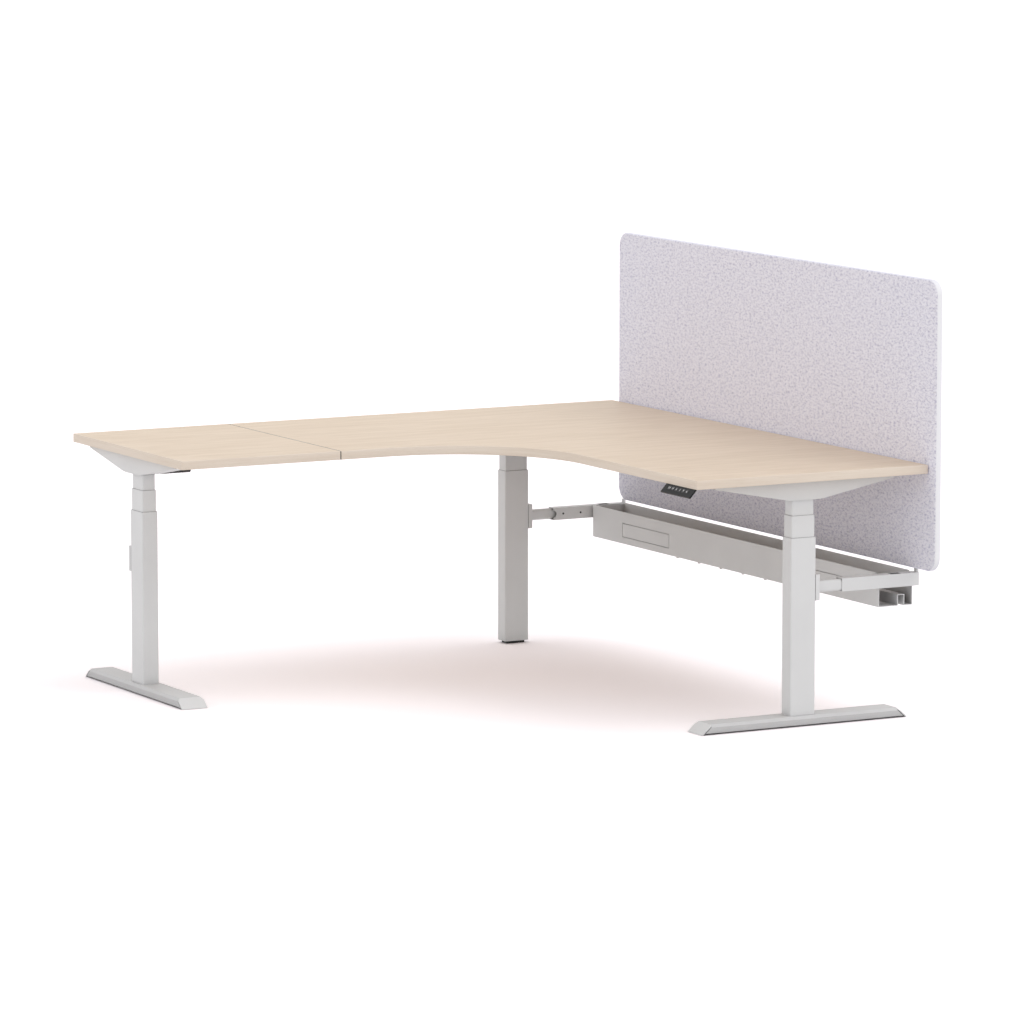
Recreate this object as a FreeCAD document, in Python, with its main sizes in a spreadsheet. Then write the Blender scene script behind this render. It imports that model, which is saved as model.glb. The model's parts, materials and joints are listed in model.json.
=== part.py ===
# Height-adjustable corner desk: an L-shaped top on three telescopic legs, with a cable tray and a
# felt screen carried behind the right wing. Millimetres, +Z up, floor at zero.
# Positions below are given from the desk's back corner; the shift at the end of each placement
# moves the whole desk so that the middle of its box stands on the origin.
import FreeCAD
import Part
import Sketcher
import os
import re

doc = FreeCAD.newDocument("corner_desk")
sheet = doc.addObject("Spreadsheet::Sheet", "Sizes")

SIZES = {
    # Worktop
    "desk_height": 717, "top_thickness": 25, "left_length": 1800, "right_length": 1800,
    "wing_depth": 745, "inner_radius": 400, "seam_straight": 157, "seam_gap": 0.8,
    "edging": 2, "plate_length": 160, "plate_width": 60, "plate_thick": 4,
    "plate_clear": 12, "back_plate_inset": 190, "screw_radius": 4.5, "screw_head": 2.5,
    "screw_margin": 15,
    # Legs
    "leg_long": 80, "leg_short": 50, "tube_corner": 4, "outer_wall": 2, "middle_gap": 0.8,
    "middle_wall": 1.5, "inner_gap": 0.75, "inner_wall": 1.5,
    "inner_show": 45, "middle_show": 62, "middle_bottom": 100, "inner_bottom": 150,
    "left_leg_inset": 63, "left_leg_offset": 20.5, "right_leg_inset": 88, "leg_offset": 7.5,
    "corner_leg_back": 38, "corner_gap": 8, "corner_glide_long": 58, "corner_glide_short": 36,
    "corner_plug": 14,
    # Feet
    "foot_bar": 604, "foot_slope": 31, "foot_width": 80, "foot_gap": 5, "foot_edge": 21,
    "foot_top": 29, "foot_bevel": 7, "cap_clear": 1, "cap_sheet": 5, "cap_gap": 3,
    "glide_radius": 26, "glide_inset": 10,
    # Brackets under the top
    "bracket_margin": 84.5, "bracket_tip": 12, "bracket_depth": 57, "bracket_flat": 50,
    "bracket_round": 160, "bracket_width": 64, "bracket_wall": 4, "left_bracket_shift": 16,
    "bracket_block": 56, "pocket_tip": 20.5, "pad_width": 120, "pad_length": 50, "pad_thick": 5,
    "motor_length": 95, "motor_height": 56, "motor_width": 100,
    "corner_plate_x": 250, "corner_plate_front": 175, "corner_plate_thick": 6,
    "corner_block": 40, "rail_width": 40, "rail_height": 30, "rail_wall": 2, "rail_gap": 2,
    "rail_offset": 95,
    "box_length": 260, "box_width": 110, "box_height": 38, "box_from_end": 760,
    # Arms and carrier
    "arm_middle": 385.5, "arm_plate_height": 73, "arm_plate_thick": 13, "arm_plate_width": 50,
    "sleeve_start": 234, "sleeve_length": 253, "sleeve_height": 37, "sleeve_width": 32,
    "sleeve_wall": 1.5, "arm_gap": 0.5, "arm_width": 20, "arm_round": 8, "arm_wall": 2,
    "arm_overlap": 150, "notch_radius": 11, "set_hole_radius": 3.2, "set_hole_first": 34,
    "set_hole_second": 94, "set_screw_gap": 0.3, "slot_from_end": 54, "slot_length": 36, "slot_width": 24,
    # Cable tray
    "tray_front": 104, "tray_width": 111, "tray_bottom": 311, "tray_sheet": 2, "tray_lip": 3.5,
    "tray_start": 69, "rib_from_back": 26, "rib_width": 23, "rib_height": 32,
    "flap_start": 251, "flap_length": 279, "flap_low": 333, "flap_height": 39, "flap_gap": 2,
    "flap_margin": 190, "pin_radius": 0.6, "pin_clear": 0.05, "pin_reach": 1.5,
    "rivet_radius": 5, "rivet_height": 4, "rivet_first": 576,
    "rivet_step": 127, "rivet_inset": 5.5, "hanger_length": 60, "hanger_height": 30,
    # Screen
    "screen_gap": 4, "screen_thickness": 20, "screen_start": 32, "screen_overrun": 32,
    "screen_bottom": 416, "screen_height": 818, "screen_radius": 42, "post_width": 6,
    "post_depth": 14, "post_inset": 3,
    # Handset
    "handset_from_end": 10, "handset_length": 158, "face_length": 29, "face_tilt": 47,
    "case_thick": 5, "case_foot_length": 60, "case_foot_depth": 40, "case_foot_height": 14,
    "case_foot_inset": 80, "face_set_back": 1, "button_row": 11.6,
    "button_width": 15, "button_length": 12, "button_pitch": 19, "button_rise": 0.8,
    "button_sunk": 1.7, "button_travel": 1, "button_clear": 0.35,
}

# Sizes that follow from the ones above
DERIVED = {
    "underside": "desk_height - top_thickness",
    "main_left_length": "wing_depth + inner_radius + seam_straight",
    "leg_line": "wing_depth / 2 - leg_offset",
    "left_leg_back": "wing_depth / 2 - left_leg_offset",
    "bracket_reach": "wing_depth / 2 - bracket_margin",
    "pocket_end": "bracket_reach - 2 * pad_length",
    "middle_top": "underside - bracket_depth - inner_show",
    "outer_top": "middle_top - middle_show",
    "screen_length": "right_length + screen_overrun - screen_start",
    "tray_end": "right_length - right_leg_inset",
    "right_flap_end": "tray_end - flap_margin",
    "shift_x": "(left_length - screen_gap - screen_thickness) / 2",
    "shift_y": "(screen_start + screen_length) / 2",
}
NODES = {}
BUTTONS = 6
# Where a sketch's corners start before their bound lengths place them
SKETCH_START = FreeCAD.Vector(50, 10, 0)

for row, (alias, number) in enumerate(SIZES.items(), start=1):
    sheet.set("A%d" % row, alias)
    sheet.set("B%d" % row, str(number))
    sheet.setAlias("B%d" % row, alias)
doc.recompute()


def formula(text):
    """Point each size named in a formula at the sheet."""
    def point(match):
        word = match.group(0)
        if word in DERIVED:
            return "(%s)" % formula(DERIVED[word])
        return "Sizes." + word if word in SIZES else word
    return re.sub(r"[a-z_]+", point, str(text))


def place(item, x, y, z):
    """Bind an item's position, measured from the desk's back corner."""
    item.setExpression("Placement.Base.x", formula("(%s) + shift_x" % x))
    item.setExpression("Placement.Base.y", formula("(%s) + shift_y" % y))
    item.setExpression("Placement.Base.z", formula(z))
    return item


def block(name, x, y, z, dx, dy, dz):
    """A box with its low corner at x, y, z."""
    item = doc.addObject("Part::Box", name)
    item.setExpression("Length", formula(dx))
    item.setExpression("Width", formula(dy))
    item.setExpression("Height", formula(dz))
    return place(item, x, y, z)


def disc(name, x, y, z, radius, height, turn=None):
    """A cylinder that stands on x, y, z, or lies along a turned axis."""
    item = doc.addObject("Part::Cylinder", name)
    item.setExpression("Radius", formula(radius))
    item.setExpression("Height", formula(height))
    if turn:
        item.Placement = FreeCAD.Placement(FreeCAD.Vector(), FreeCAD.Rotation(turn[0], turn[1]))
    return place(item, x, y, z)


def fuse(name, items):
    item = doc.addObject("Part::MultiFuse", name)
    item.Shapes = items
    item.Refine = True
    return item


def cut(name, base, tool):
    item = doc.addObject("Part::Cut", name)
    item.Base = base
    item.Tool = tool
    item.Refine = True
    return item


def group(name, items):
    item = doc.addObject("Part::Compound", name)
    item.Links = items
    return item


def node(label, item):
    """Give a finished piece its name."""
    item.Label = label
    NODES[label] = item
    return item


def outline(body, name, role, loops):
    """A sketch of closed straight-sided loops whose corners are bound to formulas."""
    sketch = body.newObject("Sketcher::SketchObject", name)
    plane = [item for item in body.Origin.OriginFeatures if item.Role == role][0]
    sketch.AttachmentSupport = [(plane, "")]
    sketch.MapMode = "FlatFace"
    first = 0
    for loop in loops:
        count = len(loop)
        turns = [FreeCAD.Rotation(FreeCAD.Vector(0, 0, 1), -360.0 * step / count) for step in range(count)]
        spots = [turn.multVec(SKETCH_START) for turn in turns]
        for step in range(count):
            sketch.addGeometry(Part.LineSegment(spots[step], spots[(step + 1) % count]), False)
        for step in range(count):
            here = first + step
            following = first + (step + 1) % count
            sketch.addConstraint(Sketcher.Constraint("Coincident", here, 2, following, 1))
        for step, (across, up) in enumerate(loop):
            for kind, text, now in (("DistanceX", across, spots[step].x), ("DistanceY", up, spots[step].y)):
                made = sketch.addConstraint(Sketcher.Constraint(kind, first + step, 1, now))
                sketch.setExpression("Constraints[%d]" % made, formula(text))
        first += count
    return sketch


def prism(name, role, loops, length, x, y, z):
    """A padded outline, centred on its sketch plane."""
    body = doc.addObject("PartDesign::Body", name)
    sketch = outline(body, name + "_sketch", role, loops)
    pad = body.newObject("PartDesign::Pad", name + "_pad")
    pad.Profile = sketch
    pad.setExpression("Length", formula(length))
    pad.SideType = "Symmetric"
    doc.recompute()
    place(body, x, y, z)
    return body


def rectangle(long_side, short_side):
    half_x = "(%s) / 2" % long_side
    half_y = "(%s) / 2" % short_side
    return [("-" + half_x, "-" + half_y), (half_x, "-" + half_y), (half_x, half_y), ("-" + half_x, half_y)]


def round_edges(body, along, side, radius):
    """Round a pad's edges that run the named way and lie on the named side of its box."""
    pad = body.Tip
    whole = pad.Shape.BoundBox
    edges = []
    for number, edge in enumerate(pad.Shape.Edges, start=1):
        box = edge.BoundBox
        runs_along = getattr(box, along) > 0.9 * getattr(whole, along)
        if runs_along and abs(getattr(box, side) - getattr(whole, side)) < 0.01:
            edges.append("Edge%d" % number)
    rounding = body.newObject("PartDesign::Fillet", "%s_round_%s" % (body.Name, side))
    rounding.Base = (pad, edges)
    rounding.setExpression("Radius", formula(radius))
    doc.recompute()


def round_corners(body, along, radius):
    """Round the four outer edges of a pad that run the named way."""
    for side in ("YMin", "YMax"):
        round_edges(body, along, side, radius)


def tube(name, x, y, bottom, top, size_x, size_y, wall):
    """An upright rectangular tube with rounded outer corners."""
    body = doc.addObject("PartDesign::Body", name)
    inner = rectangle("%s - 2 * %s" % (size_x, wall), "%s - 2 * %s" % (size_y, wall))
    sketch = outline(body, name + "_sketch", "XY_Plane", [rectangle(size_x, size_y), inner])
    pad = body.newObject("PartDesign::Pad", name + "_pad")
    pad.Profile = sketch
    pad.setExpression("Length", formula("(%s) - (%s)" % (top, bottom)))
    doc.recompute()
    round_corners(body, "ZLength", "tube_corner")
    place(body, x, y, bottom)
    return body


# Worktop: the core of each piece is the outline less its edge band
def wing_outline(name, inset):
    """The L-shaped main piece, every side moved in by the inset."""
    left = block(name + "_left", "-(main_left_length - seam_gap) + " + inset,
                 "-wing_depth + " + inset, "underside",
                 "main_left_length - seam_gap - 2 * " + inset, "wing_depth - 2 * " + inset,
                 "top_thickness")
    right = block(name + "_right", "-wing_depth + " + inset, "-right_length + " + inset, "underside",
                  "wing_depth - 2 * " + inset, "right_length - 2 * " + inset, "top_thickness")
    square = block(name + "_square", "-wing_depth - inner_radius", "-wing_depth - inner_radius", "underside",
                   "inner_radius + 2 * " + inset, "inner_radius + 2 * " + inset, "top_thickness")
    sweep = disc(name + "_sweep", "-wing_depth - inner_radius", "-wing_depth - inner_radius", "underside",
                 "inner_radius + " + inset, "top_thickness")
    corner = cut(name + "_corner", square, sweep)
    return fuse(name + "_whole", [left, right, corner])


def extension_outline(name, inset):
    return block(name, "-left_length + " + inset, "-wing_depth + " + inset, "underside",
                 "left_length - main_left_length - 2 * " + inset, "wing_depth - 2 * " + inset,
                 "top_thickness")


node("main_worktop", wing_outline("main_core", "edging"))
node("main_edging", cut("main_band", wing_outline("main_full", "0"), wing_outline("main_hole", "edging")))
node("extension_worktop", extension_outline("extension_core", "edging"))
node("extension_edging", cut("extension_band", extension_outline("extension_full", "0"),
                             extension_outline("extension_hole", "edging")))

# Joining plates across the seam, under the top
SEAM = "-(main_left_length - seam_gap / 2)"
plates = []
plate_screws = []
FRONT_PAD_END = "-left_leg_back + left_bracket_shift - bracket_reach + pad_length"
FRONT_PLATE = FRONT_PAD_END + " + plate_clear + plate_width / 2"
for label, middle in (("front", FRONT_PLATE), ("back", "-back_plate_inset")):
    plates.append(block("seam_plate_" + label, SEAM + " - plate_length / 2", middle + " - plate_width / 2",
                        "underside - plate_thick", "plate_length", "plate_width", "plate_thick"))
    for side in ("-", "+"):
        for edge in ("-", "+"):
            plate_screws.append(disc("seam_screw_%d" % len(plate_screws),
                                     "%s %s (plate_length / 2 - screw_margin)" % (SEAM, side),
                                     "%s %s (plate_width / 2 - screw_margin)" % (middle, edge),
                                     "underside - plate_thick - screw_head", "screw_radius", "screw_head"))
node("seam_plates", group("seam_plate_pair", plates))
node("seam_screws", group("seam_screw_set", plate_screws))

# Legs: three telescopic stages each; the long side lies along the foot
LEGS = {
    "left": ("-left_length + left_leg_inset", "-left_leg_back", False),
    "corner": ("-leg_line", "-corner_leg_back", True),
    "right": ("-leg_line", "-right_length + right_leg_inset", True),
}
MIDDLE_LESS = "2 * (outer_wall + middle_gap)"
INNER_LESS = "2 * (outer_wall + middle_gap + middle_wall + inner_gap)"
STAGES = {
    "outer": ("0", "outer_wall", "outer_top"),
    "middle": (MIDDLE_LESS, "middle_wall", "middle_top"),
    "inner": (INNER_LESS, "inner_wall", "underside - bracket_depth"),
}
for leg, (leg_x, leg_y, along_x) in LEGS.items():
    for stage, (less, wall, top) in STAGES.items():
        long_side = "(leg_long - %s)" % less
        short_side = "(leg_short - %s)" % less
        size_x, size_y = (long_side, short_side) if along_x else (short_side, long_side)
        bottoms = {"outer": "corner_gap" if leg == "corner" else "foot_top",
                   "middle": "middle_bottom", "inner": "inner_bottom"}
        if (leg, stage) == ("corner", "inner"):
            top = "underside - corner_plate_thick - corner_block"
        node("%s_%s_tube" % (leg, stage),
             tube("%s_%s" % (leg, stage), leg_x, leg_y, bottoms[stage], top, size_x, size_y, wall))

# Feet: a bevelled bar with a sloping end plate, which stands clear of the bar below its top, and a
# black glide near each end
FOOT_HALF = "foot_width / 2"
BAR = [("-" + FOOT_HALF, "foot_gap"), (FOOT_HALF, "foot_gap"), (FOOT_HALF, "foot_edge"),
       (FOOT_HALF + " - foot_bevel", "foot_top"), ("-" + FOOT_HALF + " + foot_bevel", "foot_top"),
       ("-" + FOOT_HALF, "foot_edge")]


CAP_STEEP = "(foot_top - cap_clear) / foot_slope"
CAP_BACK = "(cap_sheet + cap_gap)"


def foot(leg, along_x):
    """The bar, end plates and glides of one foot."""
    leg_x, leg_y, _ = LEGS[leg]
    role, side_role = ("YZ_Plane", "XZ_Plane") if along_x else ("XZ_Plane", "YZ_Plane")
    full = "foot_bar + 2 * foot_slope"
    caps = []
    glides = []
    ends = []
    for side in ("-", "+"):
        end = "%sfoot_bar / 2" % side
        tip = "%s(foot_bar / 2 + foot_slope)" % side
        beyond = "%s(foot_bar / 2 + foot_slope + 1)" % side
        slant = [(end, "foot_top"), (tip, "cap_clear"), (tip + " - %scap_sheet" % side, "cap_clear"),
                 (end, "foot_top - cap_sheet * " + CAP_STEEP)]
        void = [(end, "foot_top + 1"), (end, "foot_top - %s * %s" % (CAP_BACK, CAP_STEEP)),
                (tip + " - %s%s" % (side, CAP_BACK), "cap_clear"), (beyond, "cap_clear"),
                (beyond, "foot_top + 1")]
        name = "%s_cap_%d" % (leg, len(caps))
        solid = prism(name + "_plate", side_role, [slant], "foot_width", leg_x, leg_y, "0")
        ends.append(prism(name + "_void", side_role, [void], "foot_width + 2", leg_x, leg_y, "0"))
        hull_section = [("-" + FOOT_HALF, "cap_clear"), (FOOT_HALF, "cap_clear")] + BAR[2:]
        hull = prism(name + "_hull", role, [hull_section], full, leg_x, leg_y, "0")
        cap = doc.addObject("Part::Common", name)
        cap.Base = solid
        cap.Tool = hull
        cap.Refine = True
        caps.append(cap)
        offset = "%s(foot_bar / 2 - glide_inset)" % side
        at_x = "%s + %s" % (leg_x, offset) if along_x else leg_x
        at_y = leg_y if along_x else "%s + %s" % (leg_y, offset)
        glides.append(disc("%s_glide_%s" % (leg, len(glides)), at_x, at_y, "0", "glide_radius", "foot_gap"))
    bar = prism(leg + "_foot_bar", role, [BAR], full, leg_x, leg_y, "0")
    node(leg + "_foot", cut(leg + "_foot_whole", bar, fuse(leg + "_foot_ends", ends)))
    node(leg + "_foot_caps", group(leg + "_caps", caps))
    node(leg + "_foot_glides", group(leg + "_glides", glides))


foot("left", False)
foot("right", True)
corner_pad = block("corner_pad", "-leg_line - corner_glide_long / 2",
                   "-corner_leg_back - corner_glide_short / 2", "0",
                   "corner_glide_long", "corner_glide_short", "corner_gap")
corner_plug = block("corner_plug", "-leg_line - leg_long / 2 + outer_wall",
                    "-corner_leg_back - leg_short / 2 + outer_wall", "corner_gap",
                    "leg_long - 2 * outer_wall", "leg_short - 2 * outer_wall", "corner_plug")
node("corner_glide", fuse("corner_glide_whole", [corner_pad, corner_plug]))

# Cantilever brackets: a hollow channel that is deepest at the leg, with a plate at each tip
PROFILE = [("-bracket_reach", "0"), ("-bracket_reach", "-bracket_tip"), ("-bracket_flat", "-bracket_depth"),
           ("bracket_flat", "-bracket_depth"), ("bracket_reach", "-bracket_tip"), ("bracket_reach", "0")]


def hollow(side):
    """The pocket on one side of the leg, open at the top."""
    return [("%sbracket_block" % side, "0"), ("%sbracket_block" % side, "-bracket_depth + 3 * bracket_wall"),
            ("%spocket_end" % side, "-pocket_tip"), ("%spocket_end" % side, "0")]


def bracket(leg, along_x):
    """A bracket, its fixing pads on the inner side of the leg, and the motor beside the leg."""
    leg_x, leg_y, _ = LEGS[leg]
    mid_y = leg_y if along_x else leg_y + " + left_bracket_shift"
    role = "XZ_Plane" if along_x else "YZ_Plane"
    outer = prism(leg + "_bracket_solid", role, [PROFILE], "bracket_width", leg_x, mid_y, "underside")
    round_edges(outer, "YLength" if along_x else "XLength", "ZMin", "bracket_round")
    pockets = [prism("%s_pocket_%d" % (leg, number), role, [hollow(side)],
                     "bracket_width - 2 * bracket_wall", leg_x, mid_y, "underside")
               for number, side in enumerate(("-", "+"))]
    shell = cut(leg + "_bracket_shell", outer, fuse(leg + "_pockets", pockets))
    pads = []
    heads = []
    inner_edge = "pad_width - bracket_width / 2"
    for side in ("-", "+"):
        low = "bracket_reach - pad_length" if side == "+" else "-bracket_reach"
        name = "%s_pad_%d" % (leg, len(pads))
        middle = "%s(bracket_reach - pad_length / 2)" % side
        long_at = "%s + %s" % (leg_x if along_x else mid_y, low)
        wide_at = "%s - bracket_width / 2" % (leg_y if along_x else leg_x)
        pad_x, pad_y = (long_at, wide_at) if along_x else (wide_at, long_at)
        pad_dx, pad_dy = ("pad_length", "pad_width") if along_x else ("pad_width", "pad_length")
        pads.append(block(name, pad_x, pad_y, "underside - pad_thick", pad_dx, pad_dy, "pad_thick"))
        across = inner_edge + " - screw_margin"
        for edge in ("-", "+"):
            along = "%s %s (pad_length / 2 - screw_margin)" % (middle, edge)
            head_x = "%s + %s" % (leg_x, along if along_x else across)
            head_y = "%s + %s" % (mid_y, across if along_x else along)
            heads.append(disc("%s_head_%d" % (leg, len(heads)), head_x, head_y,
                              "underside - pad_thick - screw_head", "screw_radius", "screw_head"))
    node(leg + "_bracket", fuse(leg + "_bracket_whole", [shell] + pads))
    motor_z = "underside - motor_height"
    if along_x:
        motor = block(leg + "_motor_box", leg_x + " - motor_width / 2", leg_y + " + bracket_width / 2",
                      motor_z, "motor_width", "motor_length", "motor_height")
    else:
        motor = block(leg + "_motor_box", leg_x + " + bracket_width / 2", leg_y + " - motor_width / 2",
                      motor_z, "motor_length", "motor_width", "motor_height")
    node(leg + "_motor", motor)
    return heads


bracket_heads = bracket("left", False) + bracket("right", True)

# Corner plate, which carries the corner leg, with its own motor beside the leg
corner_flat = block("corner_flat", "-leg_line - corner_plate_x / 2", "-corner_plate_front",
                    "underside - corner_plate_thick", "corner_plate_x",
                    "corner_plate_front - corner_leg_back + leg_short / 2", "corner_plate_thick")
corner_socket = block("corner_socket", "-leg_line - leg_long / 2", "-corner_leg_back - leg_short / 2",
                      "underside - corner_plate_thick - corner_block",
                      "leg_long", "leg_short", "corner_block")
node("corner_plate", fuse("corner_plate_whole", [corner_flat, corner_socket]))
node("corner_motor", block("corner_motor_box", "-leg_line - motor_length / 2",
                           "-corner_leg_back - leg_short / 2 - motor_width",
                           "underside - corner_plate_thick - motor_height", "motor_length", "motor_width",
                           "motor_height"))
for side in ("-", "+"):
    bracket_heads.append(disc("corner_head_%d" % len(bracket_heads),
                              "-leg_line %s (corner_plate_x / 2 - screw_margin)" % side,
                              "-corner_plate_front + screw_margin",
                              "underside - corner_plate_thick - screw_head", "screw_radius", "screw_head"))
node("bracket_screws", group("bracket_screw_set", bracket_heads))

# Rails between the legs, flat against the underside
LEFT_RAIL_X = "(-left_length + left_leg_inset + bracket_width / 2)"
left_rail_length = "-leg_line - corner_plate_x / 2 - %s" % LEFT_RAIL_X
RIGHT_RAIL_Y = "(-right_length + right_leg_inset + bracket_width / 2)"
right_rail_length = "-corner_plate_front - %s" % RIGHT_RAIL_Y
RAIL_Z = "underside - rail_height"
RAIL_LOW = RAIL_Z + " + rail_wall"


def rail(name, x, y, dx, dy, along_x):
    """A square tube, open at both ends."""
    whole = block(name + "_solid", x, y, RAIL_Z, dx, dy, "rail_height")
    if along_x:
        core = block(name + "_core", x + " - 1", y + " + rail_wall", RAIL_LOW, "%s + 2" % dx,
                     dy + " - 2 * rail_wall", "rail_height - 2 * rail_wall")
    else:
        core = block(name + "_core", x + " + rail_wall", y + " - 1", RAIL_LOW, dx + " - 2 * rail_wall",
                     "%s + 2" % dy, "rail_height - 2 * rail_wall")
    return node(name, cut(name + "_tube", whole, core))


left_rail_y = "-left_leg_back + left_bracket_shift + bracket_reach - pad_length - rail_gap - rail_width"
rail("left_rail", LEFT_RAIL_X, left_rail_y, left_rail_length, "rail_width", True)
rail("right_rail", "-leg_line - rail_offset - rail_width / 2", RIGHT_RAIL_Y, "rail_width", right_rail_length,
     False)
node("control_box", block("control_box_case", "-leg_line - rail_offset + rail_width / 2",
                          "-right_length + box_from_end",
                          "underside - box_height", "box_width", "box_length", "box_height"))

# Plates on the legs' back faces; the corner and right legs carry telescopic arms on theirs
ARM_LOW = "arm_middle - arm_plate_height / 2"
LEFT_BACK = "-left_leg_back + leg_long / 2"
node("left_side_plate", block("left_plate", LEGS["left"][0] + " - arm_plate_width / 2", LEFT_BACK, ARM_LOW,
                              "arm_plate_width", "arm_plate_thick", "arm_plate_height"))
SCREW_ACROSS = "(arm_plate_width / 2 - 2 * screw_radius)"
SCREW_UP = "(arm_plate_height / 2 - 2 * screw_radius)"
ARM_SHIFT = "sleeve_wall + arm_gap"
SLEEVE_TOP = "arm_middle + sleeve_height / 2"
SET_LENGTH = "(sleeve_width - (%s) - arm_width - set_screw_gap)" % ARM_SHIFT
arm_screws = []
set_screws = []
LYING = (FreeCAD.Vector(1, 0, 0), -90)
for up in ("-", "+"):
    for side in ("-", "+"):
        arm_screws.append(disc("arm_screw_%d" % len(arm_screws),
                               "%s %s %s" % (LEGS["left"][0], side, SCREW_ACROSS),
                               LEFT_BACK + " + arm_plate_thick", "arm_middle %s %s" % (up, SCREW_UP),
                               "screw_radius", "screw_head", LYING))
for leg in ("corner", "right"):
    leg_y = LEGS[leg][1]
    plate_x = "-leg_line + leg_long / 2"
    node(leg + "_arm_plate", block(leg + "_plate", plate_x, leg_y + " - arm_plate_width / 2", ARM_LOW,
                                   "arm_plate_thick", "arm_plate_width", "arm_plate_height"))
    for up in ("-", "+"):
        for side in ("-", "+"):
            arm_screws.append(disc("arm_screw_%d" % len(arm_screws), plate_x + " + arm_plate_thick",
                                   "%s %s %s" % (leg_y, side, SCREW_ACROSS),
                                   "arm_middle %s %s" % (up, SCREW_UP),
                                   "screw_radius", "screw_head", (FreeCAD.Vector(0, 1, 0), 90)))
    tube_x = plate_x + " + arm_plate_thick"
    tube_length = "leg_line - leg_long / 2 - arm_plate_thick - sleeve_start + arm_overlap"
    tube_high = "(sleeve_height - 2 * (%s))" % ARM_SHIFT
    from_notch = "+" if leg == "corner" else "-"
    tube_y = "%s %s (sleeve_width / 2 - (%s) - arm_width / 2)" % (leg_y, from_notch, ARM_SHIFT)
    tube_spot = ("%s + (%s) / 2" % (tube_x, tube_length), tube_y, "arm_middle")
    around = rectangle("arm_width", tube_high)
    whole = prism(leg + "_arm_solid", "YZ_Plane", [around], tube_length, *tube_spot)
    round_corners(whole, "XLength", "arm_round")
    hollow = rectangle("arm_width - 2 * arm_wall", tube_high + " - 2 * arm_wall")
    core = prism(leg + "_arm_core", "YZ_Plane", [hollow], tube_length + " + 2", *tube_spot)
    round_corners(core, "XLength", "arm_round - arm_wall")
    node(leg + "_arm_tube", cut(leg + "_arm", whole, core))
    face_y = "%s - sleeve_width / 2" % leg_y
    sleeve_low = "arm_middle - sleeve_height / 2"
    sleeve = block(leg + "_sleeve_solid", "-sleeve_start", face_y, sleeve_low,
                   "sleeve_length", "sleeve_width", "sleeve_height")
    inside = block(leg + "_sleeve_core", "-sleeve_start - 1", face_y + " + sleeve_wall",
                   sleeve_low + " + sleeve_wall", "sleeve_length - sleeve_wall + 1",
                   "sleeve_width - 2 * sleeve_wall", "sleeve_height - 2 * sleeve_wall")
    cuts = [inside]
    hole_y, screw_y = face_y + " - 1", face_y
    if leg == "right":
        hole_y = face_y + " + sleeve_width - sleeve_wall - 1"
        screw_y = face_y + " + sleeve_width - " + SET_LENGTH
    cuts.append(disc(leg + "_notch", "-sleeve_start", hole_y, "arm_middle", "notch_radius",
                     "sleeve_wall + 2", LYING))
    for number, spot in enumerate(("set_hole_first", "set_hole_second")):
        cuts.append(disc("%s_set_hole_%d" % (leg, number), "-sleeve_start + " + spot, hole_y,
                         "arm_middle", "set_hole_radius", "sleeve_wall + 2", LYING))
        set_screws.append(disc("%s_set_screw_%d" % (leg, number), "-sleeve_start + " + spot, screw_y,
                               "arm_middle", "set_hole_radius", SET_LENGTH, LYING))
    cuts.append(block(leg + "_slot", "-sleeve_start + sleeve_length - slot_from_end - slot_length",
                      leg_y + " - slot_width / 2", "arm_middle + sleeve_height / 2 - sleeve_wall - 1",
                      "slot_length", "slot_width", "sleeve_wall + 2"))
    node(leg + "_arm_sleeve", cut(leg + "_sleeve", sleeve, fuse(leg + "_sleeve_cuts", cuts)))
    node(leg + "_screen_post", block(leg + "_post", "-sleeve_start + sleeve_length - post_width",
                                     face_y + " + post_inset", SLEEVE_TOP, "post_width", "post_depth",
                                     "screen_bottom - (%s)" % SLEEVE_TOP))
node("arm_screws", group("arm_screw_set", arm_screws))
node("set_screws", group("set_screw_set", set_screws))

# Cable tray: a folded sheet with an inverted U rib, hung between and under the sleeves
BACK = "tray_width"
TOP = SLEEVE_TOP + " + tray_lip - tray_bottom"
RIB_HIGH = "tray_width - rib_from_back"
RIB_LOW = "tray_width - rib_from_back - rib_width"
RIB_CEILING = "rib_height - tray_sheet"
UNDER_SHEET = [("0", TOP), ("0", "0"), (RIB_LOW + " + tray_sheet", "0"),
               (RIB_LOW + " + tray_sheet", RIB_CEILING), (RIB_HIGH + " - tray_sheet", RIB_CEILING),
               (RIB_HIGH + " - tray_sheet", "0"), (BACK, "0"), (BACK, TOP)]
OVER_SHEET = [(BACK + " - tray_sheet", TOP), (BACK + " - tray_sheet", "tray_sheet"), (RIB_HIGH, "tray_sheet"),
              (RIB_HIGH, "rib_height"), (RIB_LOW, "rib_height"), (RIB_LOW, "tray_sheet"),
              ("tray_sheet", "tray_sheet"), ("tray_sheet", TOP)]
tray_sheet_body = prism("tray_folded", "XZ_Plane", [UNDER_SHEET + OVER_SHEET], "tray_end - tray_start",
                        "-tray_front", "-(tray_start + tray_end) / 2", "tray_bottom")
sleeve_back = "(-right_length + right_leg_inset + sleeve_width / 2)"
tray_cuts = [block("tray_notch", "-tray_front - 1", "-tray_end - 1", "arm_middle - sleeve_height / 2",
                   "tray_width + 2", sleeve_back + " + tray_end + 1", "sleeve_height + tray_lip + 1")]
FLAPS = {"left": "-flap_start - flap_length", "right": "-right_flap_end"}
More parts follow.
